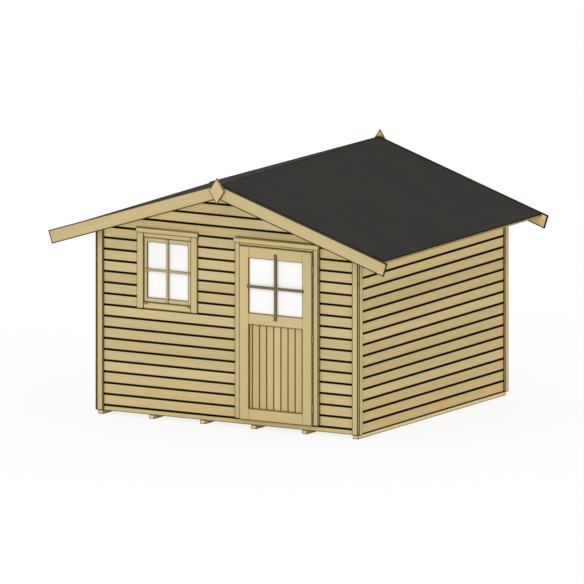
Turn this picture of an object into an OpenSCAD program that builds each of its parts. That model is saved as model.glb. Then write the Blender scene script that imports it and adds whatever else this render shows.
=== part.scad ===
// Wooden garden house: interlocking plank walls under a low gabled roof.
// Millimetres, +Z up, +X to the right of the front, +Y from the front to the back.
// The origin lies on the ground, at the middle of the overall width and depth.
// Inside the modules y = 0 is the outer face of the front wall.

/* [House] */
// Width over the outer faces of the side walls
house_w = 3008; // [2600:1:4200]
// Depth over the outer faces of the gable walls
house_d = 2955; // [1800:1:5000]
// Full plank courses in a side wall
wall_courses = 17; // [15:1:20]

/* [Wall planks] */
// Height that one plank covers
plank_h = 113.3; // [90:0.1:150]
// Thickness of a wall plank
wall_t = 28; // [20:0.5:45]
// Depth of the V joint on the outer face
vee_out = 6; // [2:0.5:8]
// Depth of the V joint on the inner face
vee_in = 3; // [1:0.5:5]
// Play above and below a plank end in the corner joint
corner_play = 0.5; // [0.2:0.1:2]

/* [Planed edges] */
// Chamfer along the free edges of corner boards, casings, jambs and caps
arris = 2; // [0.5:0.5:3]

/* [Base] */
// Number of bearers under the house
bearer_count = 6; // [4:1:9]
// Width of a bearer
bearer_w = 60; // [40:1:100]
// Height of a bearer
bearer_h = 40; // [30:1:80]
// Distance of the outer bearers' sides inside the side walls' outer faces
bearer_inset = 4; // [0:1:30]
// Thickness of the floor boards
floor_t = 18; // [14:1:28]
// Width that one floor board covers
floor_board_w = 113; // [80:1:150]
// Depth of the V joint between floor boards
floor_vee = 1; // [0.5:0.5:2]
// Gap between the floor and the walls
floor_play = 3; // [1:1:10]

/* [Corner boards] */
// Width of the boards on the gable walls
corner_w = 65; // [40:1:100]
// Width of the boards on the side walls
corner_side_w = 67; // [40:1:100]
// Thickness of the boards on the gable walls
corner_t = 19; // [12:1:30]
// Thickness of the boards on the side walls
corner_side_t = 21; // [12:1:30]
// Reach of a side board over the edge of its neighbour
corner_lap = 14; // [5:1:30]
// Gap between the corner boards and the roof boards
corner_roof_play = 1; // [0.5:0.5:5]

/* [Roof] */
// Slope of the roof in degrees
roof_pitch = 18; // [12:0.5:30]
// Distance from the side walls' outer faces to the roof boards' ends, level
eave_reach = 369; // [100:1:500]
// Distance from the front wall to the ends of the roof boards
front_reach = 193; // [40:1:500]
// Distance from the back wall to the ends of the roof boards
back_reach = 51; // [20:1:500]
// Thickness of the roof boards
roof_board_t = 18; // [14:1:28]
// Width that one roof board covers
roof_board_w = 114; // [80:1:150]
// Depth of the V joint under the roof boards
roof_vee = 4; // [1:0.5:6]
// Thickness of the roofing felt
felt_t = 4; // [2:0.5:8]
// Drop of the felt over the ends of the roof boards
felt_drop = 6; // [3:1:12]
// Width of a purlin
purlin_w = 45; // [35:1:80]
// Height of a purlin
purlin_h = 95; // [80:1:160]
// Level distance from the ridge to a side purlin's middle
purlin_x = 760; // [400:1:1000]
// Play between a purlin and its pocket in the gable
purlin_play = 0.5; // [0.2:0.1:2]
// Play between the boards and what they lie on, and under the felt
roof_play = 0.05; // [0.05:0.05:1]

/* [Bargeboards] */
// Depth of a bargeboard, across its length
barge_w = 140; // [90:1:200]
// Thickness of a bargeboard
barge_t = 20; // [14:1:30]
// Rise of the bargeboards' top edge above the felt, upright
barge_rise = 9; // [0:1:30]
// Level distance that a bargeboard runs on past the roof boards' ends
barge_tail = 82; // [0:1:150]
// Width of the finial
finial_w = 175; // [80:1:260]
// Height of the finial
finial_h = 262; // [120:1:360]
// Thickness of the finial
finial_t = 21; // [12:1:35]
// Height of the finial's middle below the bargeboards' peak
finial_drop = 64; // [20:1:120]

/* [Door] */
// Middle of the door, right of the house's middle
door_x = 573; // [400:1:700]
// Width over the door frame
door_frame_w = 962; // [800:1:1100]
// Width of a jamb's face
jamb_w = 58; // [45:1:90]
// Height of the frame head's face
head_h = 70; // [50:1:100]
// How far the frame stands out from the wall
frame_out = 30; // [15:1:50]
// How far the frame stands into the room
frame_in = 14; // [8:1:30]
// Cover of the frame over the cut planks
frame_lap = 24; // [15:1:35]
// Play between the cut planks and the frame
frame_play = 2; // [1:0.5:5]
// Width of the stop that the leaf closes against
stop_w = 12; // [8:1:20]
// Gap round the leaf and behind it
leaf_gap = 5; // [5:0.5:8]
// Thickness of the leaf
leaf_t = 38; // [34:1:50]
// Width of the leaf's stiles
stile_w = 108; // [70:1:140]
// Width of the leaf's rails
rail_w = 116; // [70:1:160]
// Height of the middle rail's lower edge above the leaf's foot
lock_rail_z = 972; // [600:1:1200]
// Height of the threshold
threshold_h = 15; // [8:1:25]
// Depth of the leaf's face behind its frame's face
panel_inset = 16; // [8:1:20]
// Thickness of the boarded panel
panel_t = 19; // [12:1:20]
// Width that one panel board covers
panel_board_w = 82.4; // [50:0.1:120]
// Width of the cut first panel board
panel_first_w = 44; // [20:1:80]
// Depth of the V joint in the panel
panel_vee = 4; // [1:0.5:6]
// Seat of the panel and the panes behind their frames
rebate_w = 10; // [6:1:16]
// Play round the panel and the panes in their seats
pane_play = 1; // [0.5:0.5:3]
// Thickness of the panes
glass_t = 4; // [3:1:6]

/* [Hinges] */
// Number of hinges
hinge_count = 3; // [2:1:4]
// Height of a hinge
hinge_h = 80; // [50:1:120]
// Radius of the hinge knuckles
knuckle_r = 4.5; // [3.5:0.1:4.8]
// Radius of the hinge pins
pin_r = 2.5; // [1.5:0.1:3]
// Play between a pin and its bore
pin_play = 0.08; // [0.03:0.01:0.09]
// Thickness of a hinge plate
plate_t = 1.5; // [1:0.1:2]
// Gap between the two halves' knuckles
knuckle_gap = 1; // [0.5:0.5:3]
// Distance from a pin's tip to the top of its hinge
pin_short = 6; // [2:1:15]
// Distance from the jamb's front edge to a plate's edge
plate_margin = 3; // [3:0.5:6]
// Gap between a knuckle and the jamb's face
knuckle_clear = 1.5; // [1:0.5:3]
// Distance from the leaf's ends to the outer hinges
hinge_inset = 180; // [100:1:300]

/* [Window] */
// Middle of the window, left of the house's middle
window_x = 700; // [500:1:900]
// Width of the opening for the window
window_w = 600; // [400:1:800]
// Full plank courses below the window
window_courses = 9; // [7:1:12]
// Width of the frame's sides
window_side_w = 28; // [20:1:40]
// Height of the frame's head
window_head_h = 70; // [40:1:100]
// Height of the frame's foot
window_foot_h = 66; // [40:1:100]
// Gap between the sash and its frame
sash_gap = 2; // [1:0.5:5]
// Thickness of the sash
sash_t = 34; // [28:1:45]
// Width of the sash's stiles
sash_stile_w = 35; // [28:1:60]
// Width of the sash's rails
sash_rail_w = 44; // [28:1:70]
// Width of the casing boards
casing_w = 72; // [50:1:100]
// Thickness of the casing boards
casing_t = 14; // [10:1:25]
// Clear width between the casing boards
casing_clear = 549; // [350:1:760]
// How far the frame's head and foot stand out from the wall
window_out = 10; // [4:1:14]
// Gap between the frame's head or foot and a casing board
facing_play = 0.5; // [0.5:0.5:2]

/* [Drip caps] */
// Height of a drip cap
cap_h = 48; // [30:1:80]
// Height of the caps' top above the door and window openings
cap_rise = 26; // [24:1:60]
// Thickness of the cap on the door frame
door_cap_t = 12; // [8:1:30]
// Thickness of the cap on the wall over the window
window_cap_t = 20; // [15:1:40]
// Reach of a cap past its frame at each end
cap_reach = 9; // [0:1:30]
// Fall of a cap's top towards its front
cap_fall = 6; // [0:1:12]

/* [Hidden] */

half_w = house_w / 2;
// Past a face that is cut through
over = 1;

// Courses: the gable walls start with half a plank, so their joints
// lie half a plank off those of the side walls and the ends interlock.
base_z = bearer_h;
sill_z = base_z + plank_h / 2;
gable_z = sill_z + (wall_courses - 1) * plank_h;
wall_top_z = base_z + wall_courses * plank_h;
window_z = sill_z + window_courses * plank_h;

// Roof: the boards' underside rises from the side walls' outer top edges.
ridge_z = wall_top_z + half_w * tan(roof_pitch);
eave_run = (half_w + eave_reach) / cos(roof_pitch);
roof_y0 = -front_reach;
roof_y1 = house_d + back_reach;
barge_y0 = roof_y0 - roof_play - barge_t;
barge_y1 = roof_y1 + roof_play;
barge_peak_z = ridge_z + (roof_board_t + felt_t) / cos(roof_pitch) + barge_rise;
barge_tip_x = half_w + eave_reach + barge_tail;
origin_y = (roof_y0 + roof_y1) / 2;

// Door
door_x0 = door_x - door_frame_w / 2;
clear_w = door_frame_w - 2 * jamb_w;
clear_x0 = door_x0 + jamb_w;
clear_x1 = clear_x0 + clear_w;
head_z = gable_z + frame_lap;
clear_z = head_z - head_h;
web_z = gable_z - frame_play;
frame_y1 = wall_t + frame_in;
leaf_x0 = clear_x0 + leaf_gap;
leaf_w = clear_w - 2 * leaf_gap;
leaf_z = sill_z;
leaf_h = clear_z - leaf_gap - leaf_z;
// The stop stands a little in front of the wall and the leaf closes before it.
stop_y = -6;
leaf_y1 = stop_y - leaf_gap;
leaf_y0 = leaf_y1 - leaf_t;
leaf_open_w = leaf_w - 2 * stile_w;
leaf_open_x = leaf_x0 + stile_w;
light_z = leaf_z + lock_rail_z + rail_w;
light_h = leaf_z + leaf_h - rail_w - light_z;
boards_z = leaf_z + rail_w;
boards_h = lock_rail_z - rail_w;
seat_y = leaf_y0 + panel_inset;

// Hinge axis: on the plane of the jamb's inner face, just before its front
hinge_x = clear_x1;
hinge_y = -frame_out - knuckle_r - knuckle_clear;
plate_y0 = -frame_out + plate_margin;
knuckle_h = (hinge_h - knuckle_gap) / 2;
hinge_z = [for (i = [0 : hinge_count - 1])
    leaf_z + hinge_inset + i * (leaf_h - 2 * hinge_inset) / (hinge_count - 1)];

// Window
window_x0 = -window_x - window_w / 2;
window_h = gable_z - window_z;
sash_w = window_w - 2 * window_side_w - 2 * sash_gap;
sash_x0 = window_x0 + window_side_w + sash_gap;
sash_z = window_z + window_foot_h + sash_gap;
sash_h = gable_z - window_head_h - sash_gap - sash_z;
pane_y = (sash_t - glass_t) / 2;
cap_z1 = gable_z + cap_rise;
cap_z0 = cap_z1 - cap_h;
casing_x0 = -window_x - casing_clear / 2 - casing_w;
casing_span = casing_clear + 2 * casing_w;

// Height of the slope that the roof boards lie on, over a place
function roof_under(x) = ridge_z - abs(x) * tan(roof_pitch);
// A place on the right slope: run down it, height square to the boards' underside
function on_slope(run, up) = [
    run * cos(roof_pitch) + (up + roof_play) * sin(roof_pitch),
    ridge_z - run * sin(roof_pitch) + (up + roof_play) * cos(roof_pitch)
];
function over_ridge(up) = [0, ridge_z + (up + roof_play) / cos(roof_pitch)];
// Joints between z0 and z1 in a wall whose courses start at first
function joints(z0, z1, first) =
    [for (k = [0 : wall_courses + 8]) let (z = first + k * plank_h) if (z > z0 + 1 && z < z1 - 1) z];

module pine() { color([0.80, 0.71, 0.51]) translate([0, -origin_y, 0]) children(); }
module felt() { color([0.24, 0.23, 0.22]) translate([0, -origin_y, 0]) children(); }
module pane() { color([0.97, 0.97, 0.97, 0.9]) translate([0, -origin_y, 0]) children(); }
module steel() { color([0.74, 0.66, 0.46]) translate([0, -origin_y, 0]) children(); }

// A (y, z) outline run along X, an (x, z) outline along Y, a box by its corners
module along_x(x0, x1) { translate([x0, 0, 0]) rotate([90, 0, 90]) linear_extrude(x1 - x0) children(); }
module along_y(y0, y1) { translate([0, y1, 0]) rotate([90, 0, 0]) linear_extrude(y1 - y0) children(); }
module block(low, high) { translate(low) cube(high - low); }
// Plan of an upright board: back on y = 0, front at -t with its edges chamfered
module board_plan(w, t) {
    polygon([[0, 0], [0, arris - t], [arris, -t], [w - arris, -t], [w, arris - t], [w, 0]]);
}
module left_side() { mirror([1, 0, 0]) children(); }
module back_side() { translate([0, house_d, 0]) mirror([0, 1, 0]) children(); }

// Section of stacked planks, outer face at y = 0, with a V at every joint.
// foot and crown are 1 where that edge is itself a joint.
module plank_section(z0, z1, first, foot, crown, bevel = 0) {
    inner_top = z1 + bevel;
    zs = joints(z0, z1, first);
    outer = concat(
        foot ? [[vee_out, z0], [0, z0 + vee_out]] : [[0, z0]],
        [for (z = zs) each [[0, z - vee_out], [vee_out, z], [0, z + vee_out]]],
        crown ? [[0, z1 - vee_out], [vee_out, z1]] : [[0, z1]]
    );
    inner = concat(
        foot ? [[wall_t - vee_in, z0], [wall_t, z0 + vee_in]] : [[wall_t, z0]],
        [for (z = zs) each [[wall_t, z - vee_in], [wall_t - vee_in, z], [wall_t, z + vee_in]]],
        crown ? [[wall_t, z1 - vee_in], [wall_t - vee_in, z1]] : [[wall_t, inner_top]]
    );
    polygon(concat(outer, [for (i = [len(inner) - 1 : -1 : 0]) inner[i]]));
}

// Room in the gable walls for the side planks' ends, at the right corner
module side_plank_ends() {
    for (k = [0 : wall_courses - 1])
        block(
            [half_w - wall_t, -over, base_z + (k + 0.25) * plank_h - corner_play],
            [half_w + over, wall_t + over, base_z + (k + 0.75) * plank_h + corner_play]
        );
}

// Room in a side wall for the gable planks' ends, at the front corner
module gable_plank_ends() {
    for (k = [0 : wall_courses])
        block(
            [half_w - wall_t - over, -over, base_z + (k - 0.25) * plank_h - corner_play],
            [half_w + over, wall_t, base_z + (k + 0.25) * plank_h + corner_play]
        );
}

// A stretch of gable wall between two courses
module gable_planks(x0, x1, z0, z1, foot, crown) {
    difference() {
        along_x(x0, x1) plank_section(z0, z1, sill_z, foot, crown);
        side_plank_ends();
        left_side() side_plank_ends();
    }
}

// The triangle over the walls, with pockets for the purlins
module gable_outline() {
    difference() {
        polygon([
            [-half_w, gable_z], [half_w, gable_z], [half_w, wall_top_z],
            [0, ridge_z], [-half_w, wall_top_z]
        ]);
        for (x = [-purlin_x, 0, purlin_x])
            translate([x, 0]) purlin_outline(x, purlin_w + 2 * purlin_play, over);
    }
}

module gable() {
    intersection() {
        gable_planks(-half_w, half_w, gable_z, ridge_z, true, false);
        along_y(-over, wall_t + over) gable_outline();
    }
}

module side_wall() {
    difference() {
        translate([half_w, 0, 0]) rotate([0, 0, 90]) along_x(0, house_d)
            plank_section(base_z, wall_top_z, base_z, false, false, wall_t * tan(roof_pitch));
        gable_plank_ends();
        back_side() gable_plank_ends();
    }
}

// Square purlin with its top planed to the slope, about its own middle
module purlin_outline(x, width, lift) {
    foot_z = min(roof_under(x + purlin_w / 2), roof_under(x - purlin_w / 2)) - purlin_h;
    a = width / 2;
    polygon(concat(
        [[-a, foot_z], [a, foot_z], [a, roof_under(x + a) + lift]],
        x == 0 ? [[0, ridge_z + lift]] : [],
        [[-a, roof_under(x - a) + lift]]
    ));
}

module purlin(x) { along_y(roof_y0, roof_y1) translate([x, 0]) purlin_outline(x, purlin_w, 0); }

// Boards laid down the slope, with their joints showing from below
module roof_boards() {
    ys = [for (y = [roof_y0 + roof_board_w : roof_board_w : roof_y1 - roof_vee]) y];
    section = concat(
        [[roof_y0, 0]],
        [for (y = ys) each [[y - roof_vee, 0], [y, roof_vee], [y + roof_vee, 0]]],
        [[roof_y1, 0], [roof_y1, roof_board_t], [roof_y0, roof_board_t]]
    );
    intersection() {
        translate([0, 0, ridge_z]) rotate([0, roof_pitch, 0]) translate([0, 0, roof_play])
            along_x(-roof_board_t, eave_run) polygon(section);
        block([0, roof_y0 - over, 0], [2 * half_w, roof_y1 + over, 2 * ridge_z]);
    }
}

// Felt over the boards, turned down over their ends at the eaves
module roof_felt() {
    foot = roof_board_t + roof_play;
    top = foot + felt_t;
    lip = eave_run + roof_play;
    along_y(roof_y0, roof_y1) polygon([
        over_ridge(foot),
        on_slope(lip, foot),
        on_slope(lip, foot - felt_drop),
        on_slope(lip + felt_t, foot - felt_drop),
        on_slope(lip + felt_t, top),
        over_ridge(top)
    ]);
}

// Bargeboard with a plumb joint at the peak and a square-cut tail
module bargeboard(y0) {
    tip_z = barge_peak_z - barge_tip_x * tan(roof_pitch);
    along_y(y0, y0 + barge_t) polygon([
        [0, barge_peak_z],
        [barge_tip_x, tip_z],
        [barge_tip_x - barge_w * sin(roof_pitch), tip_z - barge_w * cos(roof_pitch)],
        [0, barge_peak_z - barge_w / cos(roof_pitch)]
    ]);
}

module finial(y0) {
    middle_z = barge_peak_z - finial_drop;
    along_y(y0, y0 + finial_t) polygon([
        [0, middle_z - finial_h / 2], [finial_w / 2, middle_z],
        [0, middle_z + finial_h / 2], [-finial_w / 2, middle_z]
    ]);
}

// Board on the gable wall at the right corner, cut to the slope
module corner_face_board() {
    x0 = half_w - corner_w;
    intersection() {
        along_y(-corner_t, 0) polygon([
            [x0, base_z], [half_w, base_z],
            [half_w, roof_under(half_w) - corner_roof_play],
            [x0, roof_under(x0) - corner_roof_play]
        ]);
        translate([x0, 0, 0]) linear_extrude(ridge_z) board_plan(corner_w, corner_t);
    }
}

// Board on the side wall that covers the edge of the one on the gable wall
module corner_side_board() {
    x1 = half_w + corner_side_t;
    intersection() {
        along_y(-corner_lap, corner_side_w - corner_lap) polygon([
            [half_w, base_z], [x1, base_z],
            [x1, roof_under(x1) - corner_roof_play],
            [half_w, roof_under(half_w) - corner_roof_play]
        ]);
        translate([half_w, -corner_lap, 0]) rotate([0, 0, 90]) linear_extrude(ridge_z)
            board_plan(corner_side_w, corner_side_t);
    }
}

// Left jamb: a channel over the cut planks, with the stop for the leaf
module jamb() {
    translate([door_x0, 0, sill_z]) {
        linear_extrude(head_z - sill_z) {
            polygon([
                [0, 0], [0, arris - frame_out], [arris, -frame_out], [jamb_w, -frame_out], [jamb_w, 0]
            ]);
            translate([0, wall_t]) square([jamb_w, frame_in]);
        }
        linear_extrude(web_z - sill_z)
            translate([frame_lap, -over]) square([jamb_w - frame_lap, wall_t + 2 * over]);
        linear_extrude(clear_z - stop_w - sill_z)
            translate([jamb_w - over, stop_y]) square([stop_w + over, frame_y1 - stop_y]);
    }
}

module head() {
    along_x(clear_x0, clear_x1) polygon([
        [-frame_out, clear_z], [-frame_out, head_z], [0, head_z], [0, web_z],
        [wall_t, web_z], [wall_t, head_z], [frame_y1, head_z],
        [frame_y1, clear_z - stop_w], [stop_y, clear_z - stop_w], [stop_y, clear_z]
    ]);
}

module threshold() {
    slope = threshold_h / 3;
    along_x(clear_x0 + stop_w, clear_x1 - stop_w) polygon([
        [stop_y, sill_z], [frame_y1, sill_z], [frame_y1, sill_z + threshold_h - slope],
        [frame_y1 - slope, sill_z + threshold_h], [0, sill_z + threshold_h],
        [stop_y, sill_z + threshold_h - slope]
    ]);
}

// Drip cap on a face at y, its top falling forwards
module drip_cap(x0, x1, y, t) {
    along_x(x0 - cap_reach, x1 + cap_reach) polygon([
        [y, cap_z0], [y - t + arris, cap_z0], [y - t, cap_z0 + arris],
        [y - t, cap_z1 - cap_fall], [y, cap_z1]
    ]);
}

// Opening through a frame at low, with a seat behind it for a pane or panel
module seated_opening(low, size, front_y, seat, back_y) {
    block([low.x, front_y - over, low.y], [low.x + size.x, back_y + over, low.y + size.y]);
    block(
        [low.x - rebate_w, seat, low.y - rebate_w],
        [low.x + size.x + rebate_w, back_y + over, low.y + size.y + rebate_w]
    );
}

// What lies in such a seat, from y0 to y1
module seated(low, size, y0, y1) {
    reach = rebate_w - pane_play;
    block([low.x - reach, y0, low.y - reach], [low.x + size.x + reach, y1, low.y + size.y + reach]);
}

// Beads that hold a pane in its seat
module beads(low, size, y0, y1) {
    difference() {
        seated(low, size, y0, y1);
        block([low.x, y0 - over, low.y], [low.x + size.x, y1 + over, low.y + size.y]);
    }
}

leaf_light = [leaf_open_x, light_z];
leaf_light_size = [leaf_open_w, light_h];
leaf_boards = [leaf_open_x, boards_z];
leaf_boards_size = [leaf_open_w, boards_h];
sash_light = [sash_x0 + sash_stile_w, sash_z + sash_rail_w];
sash_light_size = [sash_w - 2 * sash_stile_w, sash_h - 2 * sash_rail_w];

module leaf_frame() {
    difference() {
        block([leaf_x0, leaf_y0, leaf_z], [leaf_x0 + leaf_w, leaf_y1, leaf_z + leaf_h]);
        seated_opening(leaf_light, leaf_light_size, leaf_y0, seat_y, leaf_y1);
        seated_opening(leaf_boards, leaf_boards_size, leaf_y0, seat_y, leaf_y1);
    }
}

// Upright boards with a V at every joint on the outside
module panel() {
    reach = rebate_w - pane_play;
    x0 = leaf_open_x - reach;
    x1 = leaf_open_x + leaf_open_w + reach;
    xs = [for (x = [x0 + panel_first_w : panel_board_w : x1 - panel_vee - 1]) x];
    translate([0, 0, boards_z - reach]) linear_extrude(boards_h + 2 * reach)
        polygon(concat(
            [[x0, seat_y]],
            [for (x = xs) each [[x - panel_vee, seat_y], [x, seat_y + panel_vee], [x + panel_vee, seat_y]]],
            [[x1, seat_y], [x1, seat_y + panel_t], [x0, seat_y + panel_t]]
        ));
}

// Lift-off hinge: the lower half on the jamb carries the pin
module pin_half(z) {
    block([hinge_x - plate_t, plate_y0, z], [hinge_x, stop_y - plate_margin, z + hinge_h]);
    block([hinge_x - plate_t, hinge_y, z], [hinge_x, plate_y0 + over, z + knuckle_h]);
    translate([hinge_x, hinge_y, z]) {
        cylinder(r = knuckle_r, h = knuckle_h, $fn = 48);
        cylinder(r = pin_r, h = hinge_h - pin_short, $fn = 48);
    }
}

// The upper half on the leaf turns on the pin
module knuckle_half(z) {
    x0 = leaf_x0 + leaf_w;
    foot = z + hinge_h - knuckle_h;
    difference() {
        union() {
            block([x0, plate_y0, z], [x0 + plate_t, leaf_y1 - plate_margin, z + hinge_h]);
            block([x0, hinge_y, foot], [x0 + plate_t, plate_y0 + over, z + hinge_h]);
            translate([hinge_x, hinge_y, foot]) cylinder(r = knuckle_r, h = knuckle_h, $fn = 48);
        }
        translate([hinge_x, hinge_y, z])
            cylinder(r = pin_r + pin_play, h = hinge_h - pin_short + over, $fn = 48);
    }
}

module bearers() {
    pitch = (house_w - 2 * bearer_inset - bearer_w) / (bearer_count - 1);
    pine() for (i = [0 : bearer_count - 1])
        block(
            [-half_w + bearer_inset + i * pitch, 0, 0],
            [-half_w + bearer_inset + i * pitch + bearer_w, house_d, bearer_h]
        );
}

module floor() {
    x1 = half_w - wall_t - floor_play;
    y0 = wall_t + floor_play;
    y1 = house_d - y0;
    ys = [for (y = [y0 + floor_board_w : floor_board_w : y1 - 2 * floor_vee]) y];
    pine() along_x(-x1, x1) polygon(concat(
        [[y0, base_z], [y1, base_z], [y1, base_z + floor_t]],
        [for (i = [len(ys) - 1 : -1 : 0]) each [
            [ys[i] + floor_vee, base_z + floor_t], [ys[i], base_z + floor_t - floor_vee],
            [ys[i] - floor_vee, base_z + floor_t]
        ]],
        [[y0, base_z + floor_t]]
    ));
}

module front_sill_plank() { pine() gable_planks(-half_w, half_w, base_z, sill_z, false, true); }
module front_wall_left() {
    pine() difference() {
        gable_planks(-half_w, door_x0 + frame_lap - frame_play, sill_z, gable_z, true, true);
        block([window_x0, -over, window_z], [window_x0 + window_w, wall_t + over, gable_z + over]);
    }
}
module front_wall_right() {
    pine() gable_planks(
        door_x0 + door_frame_w - frame_lap + frame_play, half_w, sill_z, gable_z, true, true
    );
}
module front_gable() { pine() gable(); }
module back_wall() { pine() back_side() gable_planks(-half_w, half_w, base_z, gable_z, false, true); }
module back_gable() { pine() back_side() gable(); }
module left_wall() { pine() left_side() side_wall(); }
module right_wall() { pine() side_wall(); }

module corner_boards_front() { pine() { corner_face_board(); left_side() corner_face_board(); } }
module corner_boards_back() {
    pine() back_side() { corner_face_board(); left_side() corner_face_board(); }
}
module corner_boards_right() { pine() { corner_side_board(); back_side() corner_side_board(); } }
module corner_boards_left() {
    pine() left_side() { corner_side_board(); back_side() corner_side_board(); }
}

module ridge_purlin() { pine() purlin(0); }
module purlin_left() { pine() purlin(-purlin_x); }
module purlin_right() { pine() purlin(purlin_x); }
module roof_boards_left() { pine() left_side() roof_boards(); }
module roof_boards_right() { pine() roof_boards(); }
module roof_felt_left() { felt() left_side() roof_felt(); }
module roof_felt_right() { felt() roof_felt(); }
module bargeboard_front_left() { pine() left_side() bargeboard(barge_y0); }
module bargeboard_front_right() { pine() bargeboard(barge_y0); }
module bargeboard_back_left() { pine() left_side() bargeboard(barge_y1); }
module bargeboard_back_right() { pine() bargeboard(barge_y1); }
module finial_front() { pine() finial(barge_y0 - finial_t); }
module finial_back() { pine() finial(barge_y1 + barge_t); }

module door_jamb_left() { pine() jamb(); }
module door_jamb_right() { pine() translate([2 * door_x, 0, 0]) mirror([1, 0, 0]) jamb(); }
module door_head() { pine() head(); }
module door_threshold() { pine() threshold(); }
module door_cap() { pine() drip_cap(door_x0, door_x0 + door_frame_w, -frame_out, door_cap_t); }
module door_leaf_frame() { pine() leaf_frame(); }
module door_panel() { pine() panel(); }
module door_glass() { pane() seated(leaf_light, leaf_light_size, seat_y, seat_y + glass_t); }
module door_beads() { pine() beads(leaf_light, leaf_light_size, seat_y + glass_t, leaf_y1); }
module hinge_pins() { steel() for (z = hinge_z) pin_half(z - hinge_h / 2); }
module hinge_knuckles() { steel() for (z = hinge_z) knuckle_half(z - hinge_h / 2); }

// Lining of the opening with a flange inside, a stop for the sash,
// and a head and foot that come forward between the casings
module window_frame() {
    fit = frame_play / 2;
    x1 = window_x0 + window_w;
    flange = casing_t + fit;
    facing_x0 = -window_x - casing_clear / 2 + facing_play;
    facing_x1 = -window_x + casing_clear / 2 - facing_play;
    pine() difference() {
        union() {
            block([window_x0 + fit, 0, window_z + fit], [x1 - fit, wall_t, gable_z - fit]);
            block(
                [window_x0 - flange, wall_t, window_z - flange],
                [x1 + flange, frame_y1, gable_z + flange]
            );
            block([facing_x0, -window_out, window_z], [facing_x1, 0, cap_z0]);
        }
        block(
            [sash_x0 - sash_gap, -window_out - over, sash_z - sash_gap],
            [sash_x0 + sash_w + sash_gap, sash_t, sash_z + sash_h + sash_gap]
        );
        block(
            [sash_x0 + stop_w, 0, sash_z + stop_w],
            [sash_x0 + sash_w - stop_w, frame_y1 + over, sash_z + sash_h - stop_w]
        );
    }
}

module window_sash() {
    pine() difference() {
        block([sash_x0, 0, sash_z], [sash_x0 + sash_w, sash_t, sash_z + sash_h]);
        seated_opening(sash_light, sash_light_size, 0, pane_y, sash_t);
    }
}
module window_glass() { pane() seated(sash_light, sash_light_size, pane_y, pane_y + glass_t); }
module window_beads() { pine() beads(sash_light, sash_light_size, pane_y + glass_t, sash_t); }
module window_casings() {
    pine() for (x = [casing_x0, casing_x0 + casing_w + casing_clear])
        translate([x, 0, window_z]) linear_extrude(cap_z0 - window_z) board_plan(casing_w, casing_t);
}
module window_cap() { pine() drip_cap(casing_x0, casing_x0 + casing_span, 0, window_cap_t); }

bearers();
floor();
front_sill_plank();
front_wall_left();
front_wall_right();
front_gable();
back_wall();
back_gable();
left_wall();
right_wall();
corner_boards_front();
corner_boards_back();
corner_boards_left();
corner_boards_right();
ridge_purlin();
purlin_left();
purlin_right();
roof_boards_left();
roof_boards_right();
roof_felt_left();
roof_felt_right();
bargeboard_front_left();
bargeboard_front_right();
bargeboard_back_left();
bargeboard_back_right();
finial_front();
finial_back();
door_jamb_left();
door_jamb_right();
door_head();
door_threshold();
door_cap();
door_leaf_frame();
door_panel();
door_glass();
door_beads();
hinge_pins();
hinge_knuckles();
window_frame();
window_sash();
window_glass();
window_beads();
window_casings();
window_cap();
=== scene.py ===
"""Looks of a wooden garden house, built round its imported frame.

Glazing bars for the door and the window, blocks under the sash, battens along the
eaves, finishes for every piece, and a plain stage.
"""

import math

import bmesh
import bpy
from bpy.props import FloatProperty, FloatVectorProperty, PointerProperty
from bpy.types import Node, NodeSocket, Operator, Panel, PropertyGroup
from mathutils import Matrix, Vector


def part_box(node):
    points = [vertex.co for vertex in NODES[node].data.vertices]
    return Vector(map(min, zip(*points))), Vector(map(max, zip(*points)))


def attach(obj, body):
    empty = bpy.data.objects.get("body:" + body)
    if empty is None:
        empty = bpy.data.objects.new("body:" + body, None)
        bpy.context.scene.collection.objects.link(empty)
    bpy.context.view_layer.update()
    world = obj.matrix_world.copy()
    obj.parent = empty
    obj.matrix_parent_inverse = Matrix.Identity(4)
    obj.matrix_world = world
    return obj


bl_info = {
    "name": "Garden House",
    "version": (1, 0, 0),
    "blender": (4, 5, 0),
    "location": "View3D > Sidebar > Garden House",
    "description": "Glazing bars, wood, felt and glass finishes for a plank garden house",
    "category": "Object",
}

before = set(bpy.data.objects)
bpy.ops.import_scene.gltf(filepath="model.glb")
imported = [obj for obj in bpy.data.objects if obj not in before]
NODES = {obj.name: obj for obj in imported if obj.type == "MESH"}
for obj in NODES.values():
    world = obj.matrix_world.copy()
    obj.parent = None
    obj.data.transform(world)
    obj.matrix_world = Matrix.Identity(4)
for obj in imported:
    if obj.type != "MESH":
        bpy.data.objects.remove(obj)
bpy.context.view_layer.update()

SIDE_WALLS = ("left_wall", "right_wall")
GABLE_WALLS = (
    "front_sill_plank", "front_wall_left", "front_wall_right", "front_gable",
    "back_wall", "back_gable",
)
FRONT_BARGES = ("bargeboard_front_left", "bargeboard_front_right")
BACK_BARGES = ("bargeboard_back_left", "bargeboard_back_right")
ROOF_BOARDS = ("roof_boards_left", "roof_boards_right")
PURLINS = ("ridge_purlin", "purlin_left", "purlin_right")
FELT = ("roof_felt_left", "roof_felt_right")
JAMBS = ("door_jamb_left", "door_jamb_right")
LEVEL_TRIM = ("door_head", "door_threshold", "door_cap", "window_cap")

# Sizes here are in metres. How far a pane's edges reach into its frame, how far the
# bars stay off the pane, and the play round the sash.
PANE_SEAT = 0.009
PANE_GAP = 0.0005
SASH_PLAY = 0.002
# Shares of a glazing bar: its chamfer and half of the bar behind it, in its width, and
# the height of the level bar in that of the upright one.
BAR_CHAMFER = 0.16
BACK_BAR_HALF = 0.4
LEVEL_BAR_HEIGHT = 0.85
BACK_CHAMFER = 0.001
# How far a sash block stands out from the window's frame, and its distance to the sash.
BLOCK_DEPTH = 0.006
BLOCK_GAP = 0.004
BLOCK_CHAMFER = 0.003
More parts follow.
